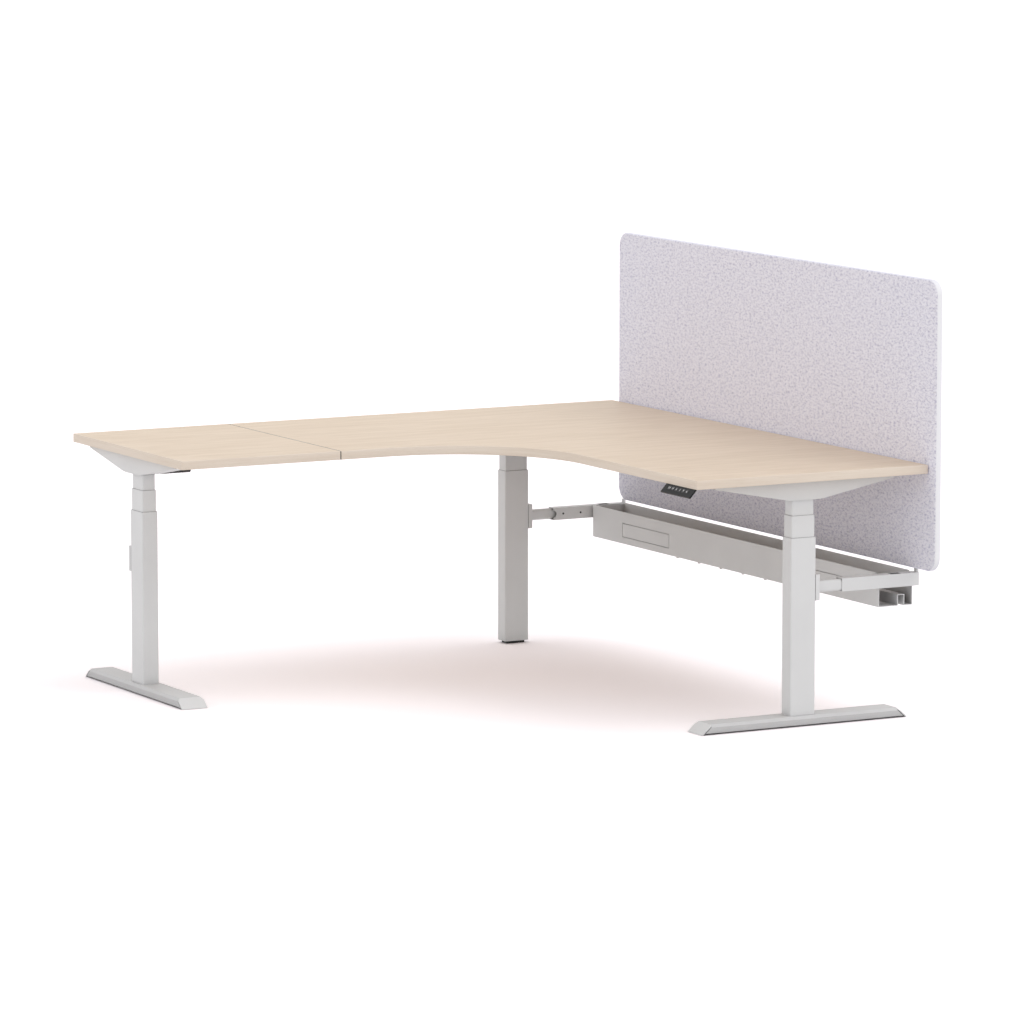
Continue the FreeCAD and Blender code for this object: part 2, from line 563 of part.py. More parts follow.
for label, low in FLAPS.items():
    tray_cuts.append(block(label + "_flap_hole", "-tray_front - 1", low + " - flap_gap",
                           "flap_low - flap_gap", "tray_sheet + 2",
                           "flap_length + 2 * flap_gap", "flap_height + 2 * flap_gap"))
    pin_spot = ("-tray_front + tray_sheet / 2", low + " - flap_gap - pin_reach", "flap_low + tray_sheet / 2")
    pin_length = "flap_length + 2 * (flap_gap + pin_reach)"
    tray_cuts.append(disc(label + "_pin_hole", *pin_spot, "pin_radius + pin_clear", pin_length, LYING))
    plate = block(label + "_flap", "-tray_front", low, "flap_low", "tray_sheet", "flap_length", "flap_height")
    pin = disc(label + "_flap_pin", *pin_spot, "pin_radius", pin_length, LYING)
    node(label + "_tray_flap", fuse(label + "_flap_whole", [plate, pin]))
node("cable_tray", cut("tray_whole", tray_sheet_body, fuse("tray_cuts", tray_cuts)))
rivets = [disc("rivet_%d" % number, "-tray_front + rivet_inset", "-rivet_first - %d * rivet_step" % number,
               "tray_bottom - rivet_height", "rivet_radius", "rivet_height") for number in range(5)]
node("tray_rivets", group("rivet_set", rivets))

# Hanger that closes the tray's end and fixes it to the corner sleeve's side
end_plate = block("tray_end_plate", "-tray_front", "-tray_start", "tray_bottom",
                  "tray_width", "tray_sheet", SLEEVE_TOP + " - tray_bottom")
hanger_back = "-corner_leg_back - sleeve_width / 2"
hanger_arm = block("tray_hanger_arm", "-tray_front + tray_width / 2 - hanger_length / 2", "-tray_start",
                   "arm_middle - hanger_height / 2", "hanger_length", "%s + tray_start" % hanger_back,
                   "hanger_height")
node("tray_hanger", fuse("tray_hanger_whole", [end_plate, hanger_arm]))

# Felt screen with rounded corners
screen = prism("screen_panel", "YZ_Plane", [rectangle("screen_length", "screen_height")], "screen_thickness",
               "screen_gap + screen_thickness / 2", "-screen_start - screen_length / 2",
               "screen_bottom + screen_height / 2")
round_corners(screen, "XLength", "screen_radius")
node("screen", screen)

# Handset under the inner edge of the right wing: a sloping face with six push buttons
TURN = "face_tilt * 1deg"
FACE_X = "face_set_back - face_length * cos(%s)" % TURN
FACE_Z = "-face_length * sin(%s)" % TURN
CASE = [("face_set_back", "0"), (FACE_X, FACE_Z),
        ("%s + case_thick * sin(%s)" % (FACE_X, TURN), "%s - case_thick * cos(%s)" % (FACE_Z, TURN)),
        ("face_set_back + case_thick / sin(%s)" % TURN, "0")]
HANDSET_Y = "-right_length + handset_from_end + handset_length / 2"
panel = prism("handset_panel", "XZ_Plane", [CASE], "handset_length", "-wing_depth", HANDSET_Y, "underside")
case_foot = block("handset_foot", "-wing_depth + face_set_back + case_thick / sin(%s) / 2" % TURN,
                  "-right_length + handset_from_end + case_foot_inset", "underside - case_foot_height",
                  "case_foot_depth", "case_foot_length", "case_foot_height")
case = fuse("handset_solid", [panel, case_foot])


def on_face(name, number, length, width, low, high):
    """A block set square on the sloping face, between two levels from its surface."""
    item = doc.addObject("Part::Box", name)
    item.setExpression("Length", formula(length))
    item.setExpression("Width", formula(width))
    item.setExpression("Height", formula("(%s) - (%s)" % (high, low)))
    item.Placement = FreeCAD.Placement(FreeCAD.Vector(), FreeCAD.Rotation(FreeCAD.Vector(0, -1, 0), 1))
    item.setExpression("Placement.Rotation.Angle", formula(TURN))
    middle_x = "-wing_depth + (face_set_back - button_row * cos(%s))" % TURN
    middle_z = "underside - button_row * sin(%s)" % TURN
    return place(item,
                 "%s - (%s) / 2 * cos(%s) - (%s) * sin(%s)" % (middle_x, length, TURN, low, TURN),
                 "%s + (%s) * button_pitch - (%s) / 2" % (HANDSET_Y, number - (BUTTONS - 1) / 2, width),
                 "%s - (%s) / 2 * sin(%s) + (%s) * cos(%s)" % (middle_z, length, TURN, low, TURN))


wells = []
for number in range(BUTTONS):
    wells.append(on_face("button_well_%d" % number, number, "button_length + 2 * button_clear",
                         "button_width + 2 * button_clear",
                         "-button_sunk - button_travel - button_clear", "2"))
    button = on_face("button_%d" % number, number, "button_length", "button_width",
                     "-button_sunk", "button_rise")
    node("handset_button_%d" % (number + 1), button)
node("handset_case", cut("handset_whole", case, fuse("button_wells", wells)))

doc.recompute()
os.makedirs("parts", exist_ok=True)
for item in doc.Objects:
    if "Invalid" in item.State or "Error" in item.State:
        raise RuntimeError("%s did not build: %s" % (item.Name, item.State))
for label, item in NODES.items():
    shape = item.Shape
    if shape.isNull() or not shape.isValid() or not shape.Solids:
        raise RuntimeError("%s has no valid shape" % label)
    shape.exportStep("parts/%s.step" % label)
print("nodes", len(NODES))
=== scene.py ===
# Looks for the height-adjustable corner desk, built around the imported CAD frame. Metres, +Z up.
import bpy
import bmesh
import json
import math
from mathutils import Matrix, Vector


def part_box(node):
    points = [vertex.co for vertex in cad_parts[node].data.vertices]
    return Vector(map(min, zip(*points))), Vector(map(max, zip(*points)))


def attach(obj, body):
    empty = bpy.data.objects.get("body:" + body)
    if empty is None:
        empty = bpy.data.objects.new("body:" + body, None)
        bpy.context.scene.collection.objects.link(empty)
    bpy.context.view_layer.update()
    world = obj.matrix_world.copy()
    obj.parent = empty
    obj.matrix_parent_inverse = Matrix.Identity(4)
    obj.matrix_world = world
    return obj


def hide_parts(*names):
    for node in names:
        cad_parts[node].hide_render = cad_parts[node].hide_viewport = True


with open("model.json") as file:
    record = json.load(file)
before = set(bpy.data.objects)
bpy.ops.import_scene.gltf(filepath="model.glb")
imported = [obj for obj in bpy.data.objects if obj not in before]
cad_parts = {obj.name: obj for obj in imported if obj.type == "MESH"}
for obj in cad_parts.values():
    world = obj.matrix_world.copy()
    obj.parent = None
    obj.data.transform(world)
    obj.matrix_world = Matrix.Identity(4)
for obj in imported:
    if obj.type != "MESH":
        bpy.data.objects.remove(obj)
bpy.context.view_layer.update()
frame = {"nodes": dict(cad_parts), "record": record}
nodes = frame["nodes"]

# Camera, found from the corners of the top, the screen and the feet in the photograph:
# place in metres, angles in degrees, lens and sensor in millimetres
CAMERA_PLACE = (-7.814, -14.589, 2.766)
CAMERA_PITCH = 7.673
CAMERA_TURN = 28.315
CAMERA_LENS = 205.8
SENSOR = 36.0
CAMERA_FAR = 2000.0

# Light levels at which a colour renders about as it is written; the sun's spread is in degrees
SKY_LEVEL = 0.86
BACKDROP_LEVEL = 1.0
SUN_LEVEL = 0.60
SUN_SPREAD = 50.0
SUN_FROM = (0.50, -0.30, 0.81)

# Floor: its colour where it lights the object, its colour where it is seen, and its half width
FLOOR_BOUNCE = (0.78, 0.77, 0.77)
FLOOR_SEEN = (1.32, 1.25, 1.28)
FLOOR_REACH = 400.0

# Edges that turn by more than this many degrees are drawn sharp
CAD_SHARP = 28
PIECE_SHARP = 35
FELT_SHARP = 60

# Edge bands of the worktop
BAND_THICK = 0.002
BAND_ROUND = 0.0016
BAND_STEPS = 3
BAND_CORNER = 0.002
INNER_RADIUS = 0.400
CURVE_STEPS = 40

# Outlines: a corner stays as it is where the cosine of its turn is above the first value, and the
# second keeps the mitre of a sharp corner from running far out
BLUNT_CORNER = 0.5
MITRE_LIMIT = 0.2

# Seam strip, a black piece that paints the shadow in the seam's groove: half widths with their depths below
# the surface, from the groove's mouth down into the joint, on the worktop's face and on its two edges, then
# how far the strip stays inside each end
SEAM_FACE = ((0.0015, 0.00012), (0.0006, 0.0008), (0.00033, 0.0016))
SEAM_EDGE = ((0.0015, 0.0002), (0.0006, 0.0010), (0.00033, 0.0020))
SEAM_FACE_ENDS = 0.002
SEAM_FACE_FOOT = 0.0005
SEAM_EDGE_FOOT = 0.0006
SEAM_EDGE_HEAD = 0.0012

# Felt screen
SCREEN_RADIUS = 0.042
SCREEN_CORNER_STEPS = 12
SCREEN_EDGE_ROUND = 0.005
SCREEN_EDGE_STEPS = 6

# Collars at the mouths of the leg tubes
TUBE_ROUND = 0.004
COLLAR_DEPTH = 0.012
COLLAR_PROUD = 0.0007
COLLAR_CLEAR = 0.00015
COLLAR_THICK = 0.0005
COLLAR_EASE = 0.6
COLLAR_CORNER_STEPS = 6

# Fastener heads: each ring's shares of the radius and of the height, and the socket's floor as a share
# of the height; a socket's own size is a share of the radius. Plate screws left of LEFT_LEG_END, along
# X, are on the left leg
HEAD_SIDES = 24
HEAD_DOME = ((1.00, 0.00), (1.00, 0.40), (0.90, 0.80), (0.70, 1.00))
SOCKET_FLOOR = 0.35
SCREW_SOCKET = 0.45
GRUB_SOCKET = 0.55
NO_SOCKET = 0.0
WELD_REACH = 0.00001
LEFT_LEG_END = -0.5

# Motor and control cases: eased ends, and grooves spread over the middle share of the length
X_AXIS = 0
Y_AXIS = 1
CASE_EASE = 0.002
CASE_EASE_MIDDLE = 0.0008
CASE_CORNER_STEPS = 5
GROOVE_HALF = 0.002
GROOVE_FLOOR_HALF = 0.0012
GROOVE_DEPTH = 0.0014
GROOVES_START = 0.30
GROOVES_SHARE = 0.40
MOTOR_ROUND = 0.008
MOTOR_GROOVES = 4
CONTROL_ROUND = 0.005
CONTROL_GROOVES = 6

# The handset's sloping panel, its buttons and their marks
FACE_TILT = math.radians(47)
BUTTON_COUNT = 6
UP_BUTTON = 1
DOWN_BUTTON = 2
BUTTON_HALF_DEEP = 0.00125
MARK_THICK = 0.00015
ARROW_HALF_HEIGHT = 0.0030
ARROW_HALF_WIDTH = 0.0034
STROKE_PITCH = 0.0030
STROKE_HALF_WIDTH = 0.0007
STROKE_HALF_HEIGHT = 0.0028

# Colours, linear
MAPLE_DARK = (0.690, 0.553, 0.415)
MAPLE_LIGHT = (0.825, 0.685, 0.548)
MAPLE_PORE = (0.620, 0.481, 0.356)
EDGE_DARK = (0.780, 0.660, 0.550)
EDGE_LIGHT = (0.880, 0.775, 0.670)
STEEL_DARK = (0.765, 0.765, 0.770)
STEEL_LIGHT = (0.815, 0.815, 0.820)
# The feet's paint: a darker copy of the steel paint, painted shade for the worktop's shadow over the feet
FOOT_SHADE_DARK = (0.650, 0.645, 0.650)
FOOT_SHADE_LIGHT = (0.690, 0.685, 0.690)
FELT_DARK = (0.460, 0.450, 0.600)
FELT_LIGHT = (0.955, 0.940, 1.000)
FELT_FLECK = (0.300, 0.290, 0.350)
FELT_RIM = (0.970, 0.965, 0.985)
FELT_SHEEN = (0.840, 0.840, 1.000)
BLACK = (0.018, 0.018, 0.019)
CHARCOAL = (0.045, 0.044, 0.046)
ZINC = (0.560, 0.560, 0.545)
COLLAR_GREY = (0.300, 0.300, 0.305)
BLACK_OXIDE = (0.060, 0.058, 0.056)
ICON_WHITE = (0.620, 0.620, 0.630)
WHITE = (1.0, 1.0, 1.0)

# Noise per metre along X, Y and Z; each wood has broad bands, fine streaks and pores
TOP_GRAIN = ((5.0, 34.0, 34.0), (11.0, 170.0, 170.0), (30.0, 700.0, 30.0))
EDGE_GRAIN = ((3.0, 3.0, 60.0), (9.0, 9.0, 420.0), (40.0, 40.0, 900.0))
FELT_MOTTLE = (120.0, 85.0, 170.0)
FELT_FIBRES = (95.0, 55.0, 150.0)
PAINT_CLOUD = (4.0, 4.0, 4.0)
PAINT_PEEL = (700.0, 700.0, 700.0)
PLATING_CLOUD = (160.0, 160.0, 160.0)

# The range in which most of a noise value lies
NOISE_LOW = 0.3
NOISE_HIGH = 0.7

# Painted shade in recesses, from ambient occlusion: how far it looks for walls, its samples and the darkest
# share
PAINTED_SHADE_REACH = 0.09
PAINTED_SHADE_SAMPLES = 8
PAINTED_SHADE_DARKEST = 0.25


# Material helpers
def start_material(name):
    """A new material, its node tree and its principled shader."""
    material = bpy.data.materials.new(name)
    material.use_nodes = True
    tree = material.node_tree
    shader = next(item for item in tree.nodes if item.type == "BSDF_PRINCIPLED")
    return material, tree, shader


def place_coords(tree, scale):
    """Object coordinates, stretched by a scale for each axis."""
    coords = tree.nodes.new("ShaderNodeTexCoord")
    mapping = tree.nodes.new("ShaderNodeMapping")
    mapping.inputs["Scale"].default_value = scale
    tree.links.new(coords.outputs["Object"], mapping.inputs["Vector"])
    return mapping.outputs["Vector"]


def noise(tree, scale, detail, roughness=0.55, distortion=0.0):
    """A noise value over the object, with its own stretch."""
    texture = tree.nodes.new("ShaderNodeTexNoise")
    texture.inputs["Scale"].default_value = 1.0
    texture.inputs["Detail"].default_value = detail
    texture.inputs["Roughness"].default_value = roughness
    texture.inputs["Distortion"].default_value = distortion
    tree.links.new(place_coords(tree, scale), texture.inputs["Vector"])
    return texture.outputs["Fac"]


def spread(tree, value, low=NOISE_LOW, high=NOISE_HIGH, low_out=0.0, high_out=1.0):
    """Stretch a value's middle range to a new range."""
    node = tree.nodes.new("ShaderNodeMapRange")
    node.inputs["From Min"].default_value = low
    node.inputs["From Max"].default_value = high
    node.inputs["To Min"].default_value = low_out
    node.inputs["To Max"].default_value = high_out
    tree.links.new(value, node.inputs["Value"])
    return node.outputs["Result"]


def blend_colours(tree, share, first, second):
    """Mix two colours, each a tuple or another node's output."""
    node = tree.nodes.new("ShaderNodeMix")
    node.data_type = "RGBA"
    tree.links.new(share, node.inputs["Factor"])
    for socket, colour in ((node.inputs[6], first), (node.inputs[7], second)):
        if isinstance(colour, tuple):
            socket.default_value = colour + (1.0,)
        else:
            tree.links.new(colour, socket)
    return node.outputs[2]


def add_bump(tree, shader, height, strength, distance):
    """Roughen the shader's surface by a height value."""
    node = tree.nodes.new("ShaderNodeBump")
    node.inputs["Strength"].default_value = strength
    node.inputs["Distance"].default_value = distance
    tree.links.new(height, node.inputs["Height"])
    tree.links.new(node.outputs["Normal"], shader.inputs["Normal"])


def average(tree, first, second):
    """The mean of two values."""
    total = tree.nodes.new("ShaderNodeMath")
    total.operation = "ADD"
    tree.links.new(first, total.inputs[0])
    tree.links.new(second, total.inputs[1])
    half = tree.nodes.new("ShaderNodeMath")
    half.operation = "MULTIPLY"
    half.inputs[1].default_value = 0.5
    tree.links.new(total.outputs[0], half.inputs[0])
    return half.outputs[0]


def wood(name, dark, light, grain):
    """Pale maple: soft bands, fine streaks and short pores, all drawn out along the grain."""
    material, tree, shader = start_material(name)
    broad, fine, pores = grain
    bands = noise(tree, broad, detail=3.0)
    streaks = noise(tree, fine, detail=6.0, roughness=0.62, distortion=0.3)
    figure = spread(tree, average(tree, bands, streaks), low=0.32, high=0.68)
    colour = blend_colours(tree, figure, dark, light)
    pore = spread(tree, noise(tree, pores, detail=2.0), low=0.64, high=0.76, high_out=0.45)
    colour = blend_colours(tree, pore, colour, MAPLE_PORE)
    tree.links.new(colour, shader.inputs["Base Color"])
    tree.links.new(spread(tree, streaks, low_out=0.42, high_out=0.56), shader.inputs["Roughness"])
    shader.inputs["Specular IOR Level"].default_value = 0.25
    add_bump(tree, shader, streaks, strength=0.08, distance=0.0003)
    return material


def powder_coat(name, dark, light):
    """Painted steel: a fine orange peel, a faint unevenness of tone and painted shade that darkens its
    recesses.
    """
    material, tree, shader = start_material(name)
    cloud = spread(tree, noise(tree, PAINT_CLOUD, detail=3.0))
    # Painted shade: ambient occlusion darkens the colour in recesses, between parts and under things
    painted_shade_occlusion = tree.nodes.new("ShaderNodeAmbientOcclusion")
    painted_shade_occlusion.samples = PAINTED_SHADE_SAMPLES
    painted_shade_occlusion.inputs["Distance"].default_value = PAINTED_SHADE_REACH
    unshaded_share = spread(tree, painted_shade_occlusion.outputs["AO"], low=0.10, high=0.70, low_out=0.25)
    painted_shade_colour = tuple(channel * PAINTED_SHADE_DARKEST for channel in dark)
    colour = blend_colours(tree, unshaded_share, painted_shade_colour, blend_colours(tree, cloud, dark, light))
    tree.links.new(colour, shader.inputs["Base Color"])
    peel = noise(tree, PAINT_PEEL, detail=2.0)
    tree.links.new(spread(tree, peel, low_out=0.44, high_out=0.56), shader.inputs["Roughness"])
    shader.inputs["Specular IOR Level"].default_value = 0.30
    add_bump(tree, shader, peel, strength=0.10, distance=0.0002)
    return material


def plain_plastic(name, colour, roughness, grain, gloss=0.35):
    """Moulded plastic with a spark-eroded grain."""
    material, tree, shader = start_material(name)
    speckle = noise(tree, (grain, grain, grain), detail=3.0)
    darker = tuple(channel * 0.8 for channel in colour)
    lighter = tuple(channel * 1.25 for channel in colour)
    tree.links.new(blend_colours(tree, spread(tree, speckle), darker, lighter),
                   shader.inputs["Base Color"])
    tree.links.new(spread(tree, speckle, low_out=roughness - 0.06, high_out=roughness + 0.06),
                   shader.inputs["Roughness"])
    shader.inputs["Specular IOR Level"].default_value = gloss
    add_bump(tree, shader, speckle, strength=0.15, distance=0.0002)
    return material


def plated_steel(name, colour):
    """Plated or blackened fasteners and plates, with a faint cloud of tone."""
    material, tree, shader = start_material(name)
    cloud = spread(tree, noise(tree, PLATING_CLOUD, detail=4.0))
    darker = tuple(channel * 0.82 for channel in colour)
    tree.links.new(blend_colours(tree, cloud, darker, colour), shader.inputs["Base Color"])
    tree.links.new(spread(tree, cloud, low=0.0, high=1.0, low_out=0.28, high_out=0.42),
                   shader.inputs["Roughness"])
    shader.inputs["Metallic"].default_value = 0.9
    add_bump(tree, shader, cloud, strength=0.05, distance=0.0002)
    return material


def flecked_felt(name):
    """Pressed felt: a lilac-grey mottle with darker flecks, a soft sheen and a paler colour where the
    surface turns away from X.
    """
    material, tree, shader = start_material(name)
    mottle = noise(tree, FELT_MOTTLE, detail=7.0, roughness=0.74, distortion=0.3)
    colour = blend_colours(tree, spread(tree, mottle, low=0.34, high=0.53), FELT_DARK, FELT_LIGHT)
    fibres = noise(tree, FELT_FIBRES, detail=7.0, roughness=0.74, distortion=0.3)
    flecks = spread(tree, fibres, low=0.54, high=0.74, high_out=0.65)
    colour = blend_colours(tree, flecks, colour, FELT_FLECK)
    # The rim is where the surface turns away from X, the way that the screen's two faces look
    coords = tree.nodes.new("ShaderNodeTexCoord")
    parts = tree.nodes.new("ShaderNodeSeparateXYZ")
    tree.links.new(coords.outputs["Normal"], parts.inputs["Vector"])
    facing = tree.nodes.new("ShaderNodeMath")
    facing.operation = "ABSOLUTE"
    tree.links.new(parts.outputs["X"], facing.inputs[0])
    rim = spread(tree, facing.outputs[0], low=0.75, high=0.35, high_out=0.95)
    colour = blend_colours(tree, rim, colour, FELT_RIM)
    tree.links.new(colour, shader.inputs["Base Color"])
    shader.inputs["Roughness"].default_value = 0.95
    shader.inputs["Specular IOR Level"].default_value = 0.10
    shader.inputs["Sheen Weight"].default_value = 1.0
    shader.inputs["Sheen Tint"].default_value = FELT_SHEEN + (1.0,)
    shader.inputs["Sheen Roughness"].default_value = 0.6
    add_bump(tree, shader, mottle, strength=0.35, distance=0.0015)
    return material


top_maple = wood("top_maple", MAPLE_DARK, MAPLE_LIGHT, TOP_GRAIN)
edge_maple = wood("edge_maple", EDGE_DARK, EDGE_LIGHT, EDGE_GRAIN)
white_steel = powder_coat("white_steel", STEEL_DARK, STEEL_LIGHT)
foot_steel_painted_shade = powder_coat("foot_steel_painted_shade", FOOT_SHADE_DARK, FOOT_SHADE_LIGHT)
felt = flecked_felt("flecked_felt")
black_plastic = plain_plastic("black_plastic", BLACK, roughness=0.50, grain=900.0)
dark_case = plain_plastic("dark_case", CHARCOAL, roughness=0.55, grain=700.0)
handset_plastic = plain_plastic("handset_plastic", BLACK, roughness=0.42, grain=1200.0, gloss=0.15)
button_plastic = plain_plastic("button_plastic", CHARCOAL, roughness=0.45, grain=1200.0)
collar_plastic = plain_plastic("collar_plastic", COLLAR_GREY, roughness=0.5, grain=900.0)
icon_paint = plain_plastic("icon_paint", ICON_WHITE, roughness=0.5, grain=1500.0)
zinc = plated_steel("zinc_steel", ZINC)
black_oxide = plated_steel("black_oxide_steel", BLACK_OXIDE)

SLOT_LOOKS = {
    "maple_board": top_maple, "maple_edge": edge_maple, "white_steel": white_steel, "felt": felt,
    "black_plastic": black_plastic, "dark_case": dark_case, "zinc_steel": zinc,
    "handset_plastic": handset_plastic, "button_plastic": button_plastic,
}
# The feet take the darker copy of the paint, painted shade for the worktop's shadow on them
NODE_LOOKS = {"left_foot": foot_steel_painted_shade, "right_foot": foot_steel_painted_shade}
for row in frame["record"]["subparts"]:
    part = nodes[row["node"]]
    part.data.materials.clear()
    part.data.materials.append(NODE_LOOKS.get(row["node"], SLOT_LOOKS[row["material_slot"]]))
    crisp = part.modifiers.new("crisp_edges", "EDGE_SPLIT")
    crisp.split_angle = math.radians(CAD_SHARP)


# Mesh helpers
def new_object(name, data):
    """An object in the scene that holds this data."""
    made = bpy.data.objects.new(name, data)
    bpy.context.scene.collection.objects.link(made)
    return made


def add_piece(name, shape, material, body, sharp_angle=PIECE_SHARP):
    """Turn a bmesh into a piece that rides on a body."""
    bmesh.ops.recalc_face_normals(shape, faces=shape.faces)
    mesh = bpy.data.meshes.new(name)
    shape.to_mesh(mesh)
    shape.free()
    mesh.materials.append(material)
    piece = new_object(name, mesh)
    mesh.shade_smooth()
    mesh.set_sharp_from_angle(angle=math.radians(sharp_angle))
    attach(piece, body)
    return piece


def loft(shape, rings, close_ends=True, closed_round=False):
    """Skin a row of rings of equal length."""
    made = [[shape.verts.new(point) for point in ring] for ring in rings]
    pairs = list(zip(made, made[1:]))
    if closed_round:
        pairs.append((made[-1], made[0]))
    for first, second in pairs:
        for step in range(len(first)):
            following = (step + 1) % len(first)
            shape.faces.new((first[step], first[following], second[following], second[step]))
    if close_ends:
        shape.faces.new(made[0])
        shape.faces.new(made[-1])


def offset_loop(points, inset):
    """Move a closed flat outline inwards; the outline runs anticlockwise."""
    moved = []
    for index, here in enumerate(points):
        before = (here - points[index - 1]).normalized()
        after = (points[(index + 1) % len(points)] - here).normalized()
        first = Vector((-before.y, before.x))
        second = Vector((-after.y, after.x))
        mitre = (first + second).normalized()
        moved.append(here + mitre * (inset / max(MITRE_LIMIT, mitre.dot(first))))
    return moved


def rounded_rectangle(half_a, half_b, radius, steps):
    """A rectangle with round corners, about the origin, anticlockwise."""
    points = []
    for sign_a, sign_b, start in ((1, 1, 0), (-1, 1, 90), (-1, -1, 180), (1, -1, 270)):
        for step in range(steps + 1):
            angle = math.radians(start + 90 * step / steps)
            points.append(Vector((sign_a * (half_a - radius) + radius * math.cos(angle),
                                  sign_b * (half_b - radius) + radius * math.sin(angle))))
    return points


def round_loop(points, radius, steps=4):
    """Round the square corners of a closed flat outline."""
    rounded = []
    for index, here in enumerate(points):
        before = (here - points[index - 1]).normalized()
        after = (points[(index + 1) % len(points)] - here).normalized()
        if abs(before.dot(after)) > BLUNT_CORNER:
            rounded.append(here)
            continue
        centre = here - before * radius + after * radius
        for step in range(steps + 1):
            angle = math.radians(90 * step / steps)
            rounded.append(centre - after * radius * math.cos(angle) + before * radius * math.sin(angle))
    return rounded


def both_sides(halves):
    """A closed outline that goes once round from half widths and their levels, alike on both sides."""
    left = [(-half, level) for half, level in halves]
    return left[:1] + list(halves) + left[:0:-1]


# Edge bands with eased corners
def edge_band(name, node, outline):
    """A band round an outline, eased along its outer top and bottom edges."""
    low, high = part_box(node)
    profile = [(BAND_THICK, high.z)]
    for step in range(BAND_STEPS + 1):
        angle = math.radians(90 * step / BAND_STEPS)
        inset = BAND_ROUND * (1 - math.sin(angle))
        profile.append((inset, high.z - BAND_ROUND * (1 - math.cos(angle))))
    profile += [(inset, low.z + high.z - level) for inset, level in reversed(profile)]
    shape = bmesh.new()
    outline = round_loop(outline, BAND_CORNER)
    rings = [[(spot.x, spot.y, level) for spot in offset_loop(outline, inset)] for inset, level in profile]
    loft(shape, rings, close_ends=False, closed_round=True)
    piece = add_piece(name, shape, edge_maple, "top")
    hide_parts(node)


main_low, main_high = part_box("main_edging")
side_low, side_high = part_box("extension_edging")
wing_depth = side_high.y - side_low.y
inner_x = main_high.x - wing_depth
inner_y = main_high.y - wing_depth
curve = []
for step in range(CURVE_STEPS + 1):
    angle = math.radians(90 * step / CURVE_STEPS)
    curve.append(Vector((inner_x - INNER_RADIUS + INNER_RADIUS * math.cos(angle),
                         inner_y - INNER_RADIUS + INNER_RADIUS * math.sin(angle))))
main_outline = [Vector((inner_x, main_low.y)), Vector((main_high.x, main_low.y)),
                Vector((main_high.x, main_high.y)), Vector((main_low.x, main_high.y)),
                Vector((main_low.x, inner_y))] + curve[::-1]
side_outline = [Vector((side_low.x, side_low.y)), Vector((side_high.x, side_low.y)),
                Vector((side_high.x, side_high.y)), Vector((side_low.x, side_high.y))]
edge_band("main_edge_band", "main_edging", main_outline)
edge_band("extension_edge_band", "extension_edging", side_outline)

# Black strip in the seam, painted shade for the shadowed joint, wider where the eased edges leave a groove
seam_x = (main_low.x + side_high.x) / 2
top_z = main_high.z
under_z = main_low.z
joint_half = SEAM_FACE[-1][0]
section = both_sides([(joint_half, under_z + SEAM_FACE_FOOT)]
                     + [(half, top_z - depth) for half, depth in reversed(SEAM_FACE)])
shape = bmesh.new()
loft(shape, [[(seam_x + across, along, level) for across, level in section]
             for along in (side_low.y + SEAM_FACE_ENDS, side_high.y - SEAM_FACE_ENDS)])
for edge, inward in ((side_low.y, 1), (side_high.y, -1)):
    loft(shape, [[(seam_x + across, edge + inward * depth, level) for across, depth in both_sides(SEAM_EDGE)]
                 for level in (under_z + SEAM_EDGE_FOOT, top_z - SEAM_EDGE_HEAD)])
add_piece("seam_painted_shade_strip", shape, black_plastic, "top")

# Felt screen with soft rounded edges
screen_low, screen_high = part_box("screen")
screen_middle = (screen_low + screen_high) / 2
half_depth = (screen_high.x - screen_low.x) / 2
half_length = (screen_high.y - screen_low.y) / 2
half_height = (screen_high.z - screen_low.z) / 2
face_outline = rounded_rectangle(half_length, half_height, SCREEN_RADIUS, SCREEN_CORNER_STEPS)
rings = []
for side in (-1, 1):
    for step in range(SCREEN_EDGE_STEPS + 1):
        turned = 90 * step / SCREEN_EDGE_STEPS
        angle = math.radians(turned if side < 0 else 90 - turned)
        inset = SCREEN_EDGE_ROUND * (1 - math.sin(angle))
        level = side * (half_depth - SCREEN_EDGE_ROUND * (1 - math.cos(angle)))
        rings.append([(screen_middle.x + level, screen_middle.y + spot.x, screen_middle.z + spot.y)
                      for spot in offset_loop(face_outline, inset)])
shape = bmesh.new()
loft(shape, rings)
screen_piece = add_piece("felt_screen", shape, felt, "carrier", FELT_SHARP)
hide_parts("screen")


# Plastic collars at the mouths of the outer and middle tubes
def collar(name, outer_node, inner_node, body):
    """A thin ring that lines the gap at a tube's mouth and stands a little proud."""
    outer_low, outer_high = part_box(outer_node)
    inner_low, inner_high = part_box(inner_node)
    middle = (outer_low + outer_high) / 2
    inner_a = (inner_high.x - inner_low.x) / 2 + COLLAR_CLEAR
    inner_b = (inner_high.y - inner_low.y) / 2 + COLLAR_CLEAR
    profile = ((0, -COLLAR_DEPTH), (COLLAR_THICK, -COLLAR_DEPTH),
               (COLLAR_THICK, COLLAR_PROUD * COLLAR_EASE),
               (COLLAR_THICK * COLLAR_EASE, COLLAR_PROUD), (0, COLLAR_PROUD))
    rings = []
    for grow, level in profile:
        outline = rounded_rectangle(inner_a + grow, inner_b + grow, TUBE_ROUND + grow, COLLAR_CORNER_STEPS)
        rings.append([(middle.x + spot.x, middle.y + spot.y, outer_high.z + level) for spot in outline])
    shape = bmesh.new()
    loft(shape, rings, close_ends=False, closed_round=True)
    add_piece(name, shape, collar_plastic, body)


for leg in ("left", "corner", "right"):
    collar(leg + "_lower_collar", leg + "_outer_tube", leg + "_middle_tube", "base")
    collar(leg + "_upper_collar", leg + "_middle_tube", leg + "_inner_tube", leg + "_stage")


